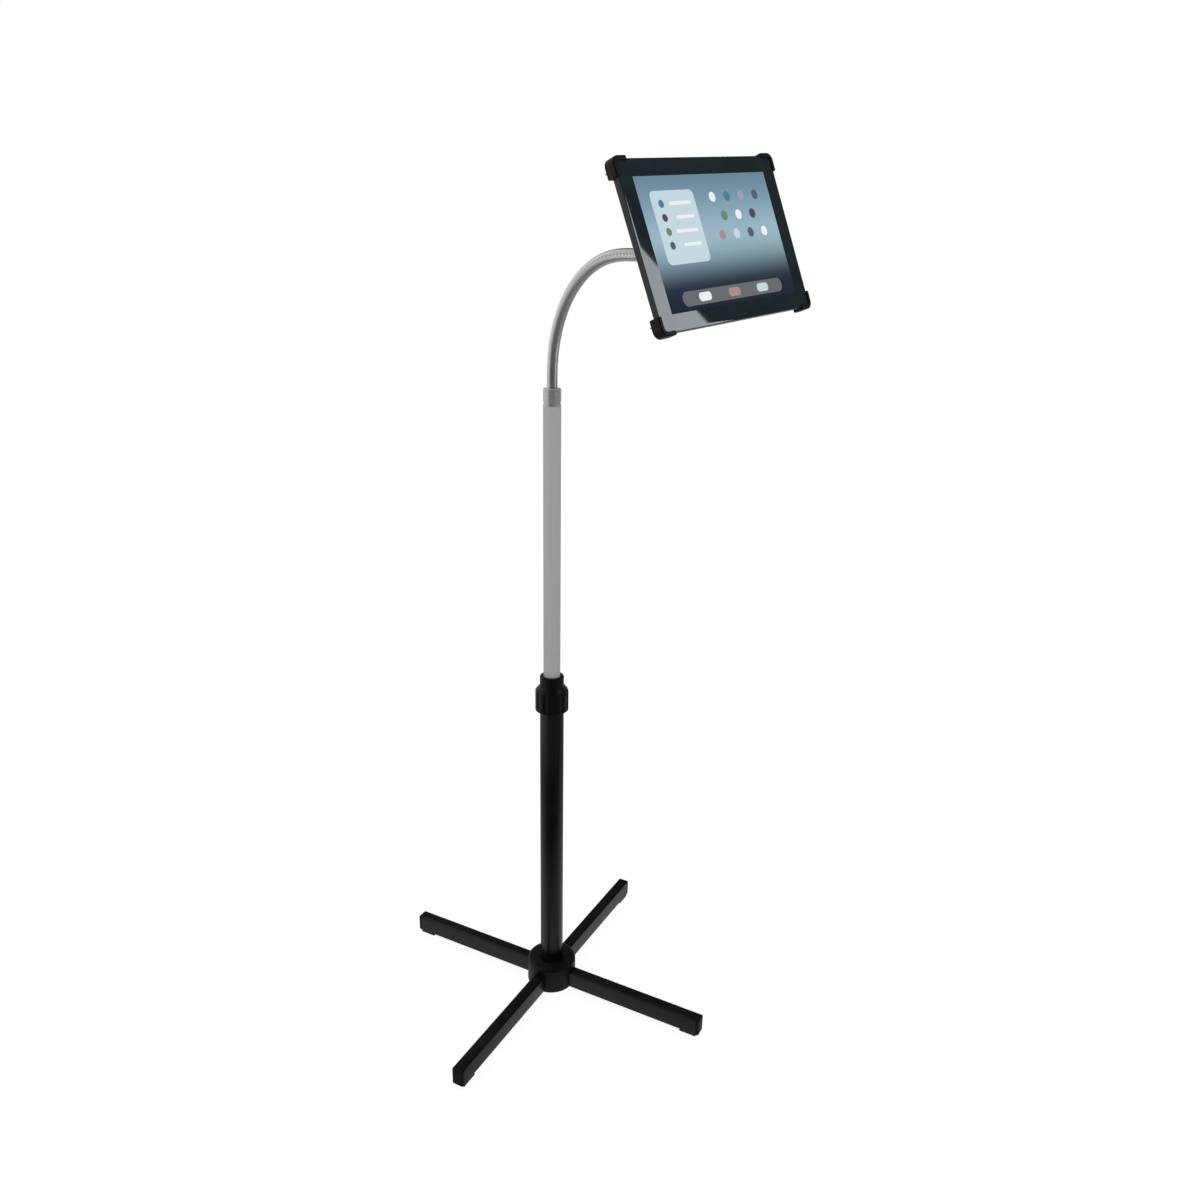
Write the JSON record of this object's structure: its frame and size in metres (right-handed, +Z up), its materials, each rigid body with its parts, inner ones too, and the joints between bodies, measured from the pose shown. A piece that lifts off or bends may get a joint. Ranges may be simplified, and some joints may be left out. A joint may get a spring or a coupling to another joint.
{
  "type": "tablet floor stand",
  "caption": "Floor stand with a cross base, a telescopic pole with a twist lock, a gooseneck and a tilting, turning holder that carries a tablet.",
  "frame": {"origin": "on the floor, on the pole's axis, under the hub", "axes": "+Z up along the pole, the tablet faces -Y, +X to the viewer's right"},
  "size_m": [0.4858, 0.5764, 1.2203],
  "materials": {
    "moulded_black": "fine moulded texture",
    "painted_black": "satin powder coat",
    "rubber_black": "matte",
    "zinc_steel": "bright zinc plate",
    "white_nylon": "natural",
    "satin_silver": "satin silver",
    "bright_steel": "bright nickel",
    "gooseneck_steel": "satin chrome",
    "tablet_shell": "dark satin",
    "tablet_glass": "gloss black",
    "tablet_screen": "lit display",
    "battery_wrap": "matte film"
  },
  "bodies": {
    "base": {"hub": "moulded_black", "hub_foot": "rubber_black", "hub_bolt": "zinc_steel", "hub_washer": "zinc_steel", "tube_plug": "moulded_black", "leg_1": "painted_black", "leg_2": "painted_black", "leg_3": "painted_black", "leg_4": "painted_black", "leg_cap_1": "moulded_black", "leg_cap_2": "moulded_black", "leg_cap_3": "moulded_black", "leg_cap_4": "moulded_black", "leg_feet": "rubber_black", "leg_screws": "zinc_steel", "lower_tube": "painted_black", "guide_sleeve": "moulded_black", "lock_wedge": "white_nylon"},
    "collar": {"lock_collar": "moulded_black"},
    "carriage": {"slide_bush": "white_nylon"},
    "mast": {"upper_tube": "satin_silver", "tube_end_plug": "moulded_black", "bush_ring": "zinc_steel", "ferrule": "bright_steel", "set_screw": "zinc_steel", "neck_section_1": "gooseneck_steel"},
    "neck_2": {"neck_section_2": "gooseneck_steel"},
    "neck_3": {"neck_section_3": "gooseneck_steel"},
    "neck_4": {"neck_section_4": "gooseneck_steel"},
    "neck_5": {"neck_section_5": "gooseneck_steel"},
    "neck_6": {"neck_section_6": "gooseneck_steel"},
    "neck_7": {"neck_section_7": "gooseneck_steel"},
    "neck_8": {"neck_section_8": "gooseneck_steel"},
    "neck_9": {"neck_section_9": "gooseneck_steel"},
    "neck_10": {"neck_section_10": "gooseneck_steel"},
    "neck_11": {"neck_section_11": "gooseneck_steel"},
    "neck_12": {"neck_section_12": "gooseneck_steel", "end_sleeve": "bright_steel", "ball_stud": "bright_steel"},
    "head": {"ball_socket": "moulded_black", "friction_washer": "rubber_black", "spindle_washer": "zinc_steel", "spindle_screw": "zinc_steel"},
    "nut": {"lock_nut": "moulded_black"},
    "holder": {"tray": "moulded_black", "corner_clip_1": "moulded_black", "corner_clip_2": "moulded_black", "corner_clip_3": "moulded_black", "corner_clip_4": "moulded_black", "clip_screws": "zinc_steel", "tray_pads": "rubber_black", "tablet_back": "tablet_shell", "tablet_battery": "battery_wrap", "tablet_display": "tablet_screen", "tablet_frame": "tablet_glass"}
  },
  "joints": [
    {"name": "collar_twist", "type": "hinge", "parent": "base", "child": "collar", "pos_m": [0, 0, 0.505], "axis": [0, 0, 1], "range_deg": [0, 120]},
    {"name": "height_slide", "type": "slide", "parent": "base", "child": "carriage", "axis": [0, 0, 1], "range_m": [-0.25, 0.1]},
    {"name": "mast_swivel", "type": "hinge", "parent": "carriage", "child": "mast", "pos_m": [0, 0, 0.315], "axis": [0, 0, 1], "continuous": true},
    {"name": "neck_lower_bend", "type": "hinge", "parent": "mast", "child": "neck_2", "pos_m": [0, 0, 0.9688], "axis": [1, 0, 0], "range_deg": [-9, 4.5]},
    {"name": "neck_bend_2", "type": "hinge", "parent": "neck_2", "child": "neck_3", "pos_m": [0, -0.00347, 0.99507], "axis": [1, 0, 0], "range_deg": [-9, 4.5]},
    {"name": "neck_bend_3", "type": "hinge", "parent": "neck_3", "child": "neck_4", "pos_m": [0, -0.01107, 1.02046], "axis": [1, 0, 0], "range_deg": [-9, 4.5]},
    {"name": "neck_bend_4", "type": "hinge", "parent": "neck_4", "child": "neck_5", "pos_m": [0, -0.02293, 1.04416], "axis": [1, 0, 0], "range_deg": [-9, 4.5]},
    {"name": "neck_bend_5", "type": "hinge", "parent": "neck_5", "child": "neck_6", "pos_m": [0, -0.03888, 1.06532], "axis": [1, 0, 0], "range_deg": [-9, 4.5]},
    {"name": "neck_upper_bend", "type": "hinge", "parent": "neck_6", "child": "neck_7", "pos_m": [0, -0.05853, 1.0831], "axis": [1, 0, 0], "range_deg": [-9, 4.5]},
    {"name": "neck_bend_7", "type": "hinge", "parent": "neck_7", "child": "neck_8", "pos_m": [0, -0.08124, 1.09675], "axis": [1, 0, 0], "range_deg": [-9, 4.5]},
    {"name": "neck_bend_8", "type": "hinge", "parent": "neck_8", "child": "neck_9", "pos_m": [0, -0.10621, 1.10563], "axis": [1, 0, 0], "range_deg": [-9, 4.5]},
    {"name": "neck_bend_9", "type": "hinge", "parent": "neck_9", "child": "neck_10", "pos_m": [0, -0.13246, 1.10926], "axis": [1, 0, 0], "range_deg": [-9, 4.5]},
    {"name": "neck_bend_10", "type": "hinge", "parent": "neck_10", "child": "neck_11", "pos_m": [0, -0.15896, 1.10916], "axis": [1, 0, 0], "range_deg": [-9, 4.5]},
    {"name": "neck_bend_11", "type": "hinge", "parent": "neck_11", "child": "neck_12", "pos_m": [0, -0.18546, 1.10907], "axis": [1, 0, 0], "range_deg": [-9, 4.5]},
    {"name": "head_tilt", "type": "hinge", "parent": "neck_12", "child": "head", "pos_m": [0, -0.23996, 1.10888], "axis": [0.9965, 0.0837, 0], "range_deg": [-18, 40]},
    {"name": "nut_twist", "type": "hinge", "parent": "head", "child": "nut", "pos_m": [0, -0.23996, 1.10888], "axis": [0.0784, -0.9334, 0.3502], "range_deg": [0, 90]},
    {"name": "holder_turn", "type": "hinge", "parent": "head", "child": "holder", "pos_m": [0, -0.23996, 1.10888], "axis": [0.0784, -0.9334, 0.3502], "continuous": true}
  ],
  "couplings": [
    {"joint": "neck_bend_2", "follows": "neck_lower_bend", "ratio": 1},
    {"joint": "neck_bend_3", "follows": "neck_lower_bend", "ratio": 1},
    {"joint": "neck_bend_4", "follows": "neck_lower_bend", "ratio": 1},
    {"joint": "neck_bend_5", "follows": "neck_lower_bend", "ratio": 1},
    {"joint": "neck_bend_7", "follows": "neck_upper_bend", "ratio": 1},
    {"joint": "neck_bend_8", "follows": "neck_upper_bend", "ratio": 1},
    {"joint": "neck_bend_9", "follows": "neck_upper_bend", "ratio": 1},
    {"joint": "neck_bend_10", "follows": "neck_upper_bend", "ratio": 1},
    {"joint": "neck_bend_11", "follows": "neck_upper_bend", "ratio": 1}
  ]
}
